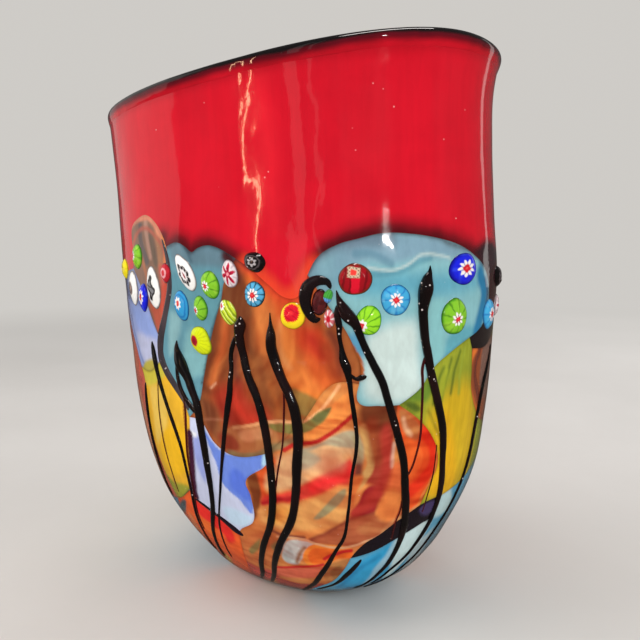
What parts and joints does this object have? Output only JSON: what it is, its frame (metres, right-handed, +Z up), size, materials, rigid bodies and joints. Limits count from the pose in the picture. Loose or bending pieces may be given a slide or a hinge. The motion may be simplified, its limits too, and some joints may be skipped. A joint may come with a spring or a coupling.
{
  "type": "art glass vase",
  "caption": "Tall oval pocket vase of layered art glass: open slanted mouth, rounded body and a flat base, with coloured panels, drawn canes and cane slices.",
  "frame": {"origin": "centre of the flat base's end-to-end oval, on the table plane", "axes": "+Z up, +X towards the narrow end where the rim is highest, -Y the front face"},
  "size_m": [0.2619, 0.1634, 0.3198],
  "materials": {
    "inner_gather": "glossy dark red glass, ground flat underneath",
    "lip_wrap": "glossy black glass",
    "red_field": "glossy opaque coloured glass, marbled",
    "brown_lobe": "glossy opaque coloured glass, marbled",
    "periwinkle_panel": "glossy opaque coloured glass, marbled",
    "terracotta_strip": "glossy opaque coloured glass, marbled",
    "yellow_panel": "glossy opaque coloured glass, marbled",
    "left_blue_panel": "glossy opaque coloured glass, marbled",
    "lavender_panel": "glossy opaque coloured glass, marbled",
    "orange_low_panel": "glossy opaque coloured glass, marbled",
    "amber_blob": "glossy opaque coloured glass, marbled",
    "marbled_swirl": "glossy opaque coloured glass, marbled",
    "blue_dome": "glossy opaque coloured glass, marbled",
    "dark_wedge": "glossy black glass",
    "green_yellow_panel": "glossy opaque coloured glass, marbled",
    "brown_oval": "glossy opaque coloured glass, marbled",
    "dark_bar": "glossy black glass",
    "light_blue_low": "glossy opaque coloured glass, marbled",
    "right_end_lime": "glossy opaque coloured glass, marbled",
    "back_blue_dome": "glossy opaque coloured glass, marbled",
    "back_coral_swirl": "glossy opaque coloured glass, marbled",
    "back_lavender": "glossy opaque coloured glass, marbled",
    "back_brown_blob": "glossy opaque coloured glass, marbled",
    "back_orange_low": "glossy opaque coloured glass, marbled",
    "back_yellow": "glossy opaque coloured glass, marbled",
    "left_back_blue": "glossy opaque coloured glass, marbled",
    "left_back_low": "glossy opaque coloured glass, marbled",
    "cane_01": "glossy black glass",
    "cane_02": "glossy black glass",
    "cane_03": "glossy black glass",
    "cane_04": "glossy black glass",
    "cane_05": "glossy black glass",
    "cane_06": "glossy black glass",
    "cane_07": "glossy black glass",
    "cane_08": "glossy black glass",
    "cane_09": "glossy black glass",
    "cane_10": "glossy black glass",
    "fine_threads": "glossy black glass",
    "back_canes": "glossy black glass",
    "left_seam": "glossy black glass",
    "lavender_seam": "glossy black glass",
    "swirl_seam": "glossy black glass",
    "green_murrine": "glossy opaque glass cane slice, patterned",
    "lime_murrine": "glossy opaque glass cane slice, patterned",
    "light_blue_murrine": "glossy opaque glass cane slice, patterned",
    "royal_blue_murrine": "glossy opaque glass cane slice, patterned",
    "white_eye_murrine": "glossy opaque glass cane slice, patterned",
    "yellow_murrine": "glossy opaque glass cane slice, patterned",
    "red_star_murrine": "glossy opaque glass cane slice, patterned",
    "dark_red_murrine": "glossy opaque glass cane slice, patterned",
    "black_bead": "glossy black glass",
    "crescent_bead": "glossy black glass"
  },
  "bodies": {
    "root": {"inner_gather": "inner_gather", "lip_wrap": "lip_wrap", "red_field": "red_field", "brown_lobe": "brown_lobe", "periwinkle_panel": "periwinkle_panel", "terracotta_strip": "terracotta_strip", "yellow_panel": "yellow_panel", "left_blue_panel": "left_blue_panel", "lavender_panel": "lavender_panel", "orange_low_panel": "orange_low_panel", "amber_blob": "amber_blob", "marbled_swirl": "marbled_swirl", "blue_dome": "blue_dome", "dark_wedge": "dark_wedge", "green_yellow_panel": "green_yellow_panel", "brown_oval": "brown_oval", "dark_bar": "dark_bar", "light_blue_low": "light_blue_low", "right_end_lime": "right_end_lime", "back_blue_dome": "back_blue_dome", "back_coral_swirl": "back_coral_swirl", "back_lavender": "back_lavender", "back_brown_blob": "back_brown_blob", "back_orange_low": "back_orange_low", "back_yellow": "back_yellow", "left_back_blue": "left_back_blue", "left_back_low": "left_back_low", "cane_01": "cane_01", "cane_02": "cane_02", "cane_03": "cane_03", "cane_04": "cane_04", "cane_05": "cane_05", "cane_06": "cane_06", "cane_07": "cane_07", "cane_08": "cane_08", "cane_09": "cane_09", "cane_10": "cane_10", "fine_threads": "fine_threads", "back_canes": "back_canes", "left_seam": "left_seam", "lavender_seam": "lavender_seam", "swirl_seam": "swirl_seam", "green_murrine": "green_murrine", "lime_murrine": "lime_murrine", "light_blue_murrine": "light_blue_murrine", "royal_blue_murrine": "royal_blue_murrine", "white_eye_murrine": "white_eye_murrine", "yellow_murrine": "yellow_murrine", "red_star_murrine": "red_star_murrine", "dark_red_murrine": "dark_red_murrine", "black_bead": "black_bead", "crescent_bead": "crescent_bead"}
  },
  "joints": []
}
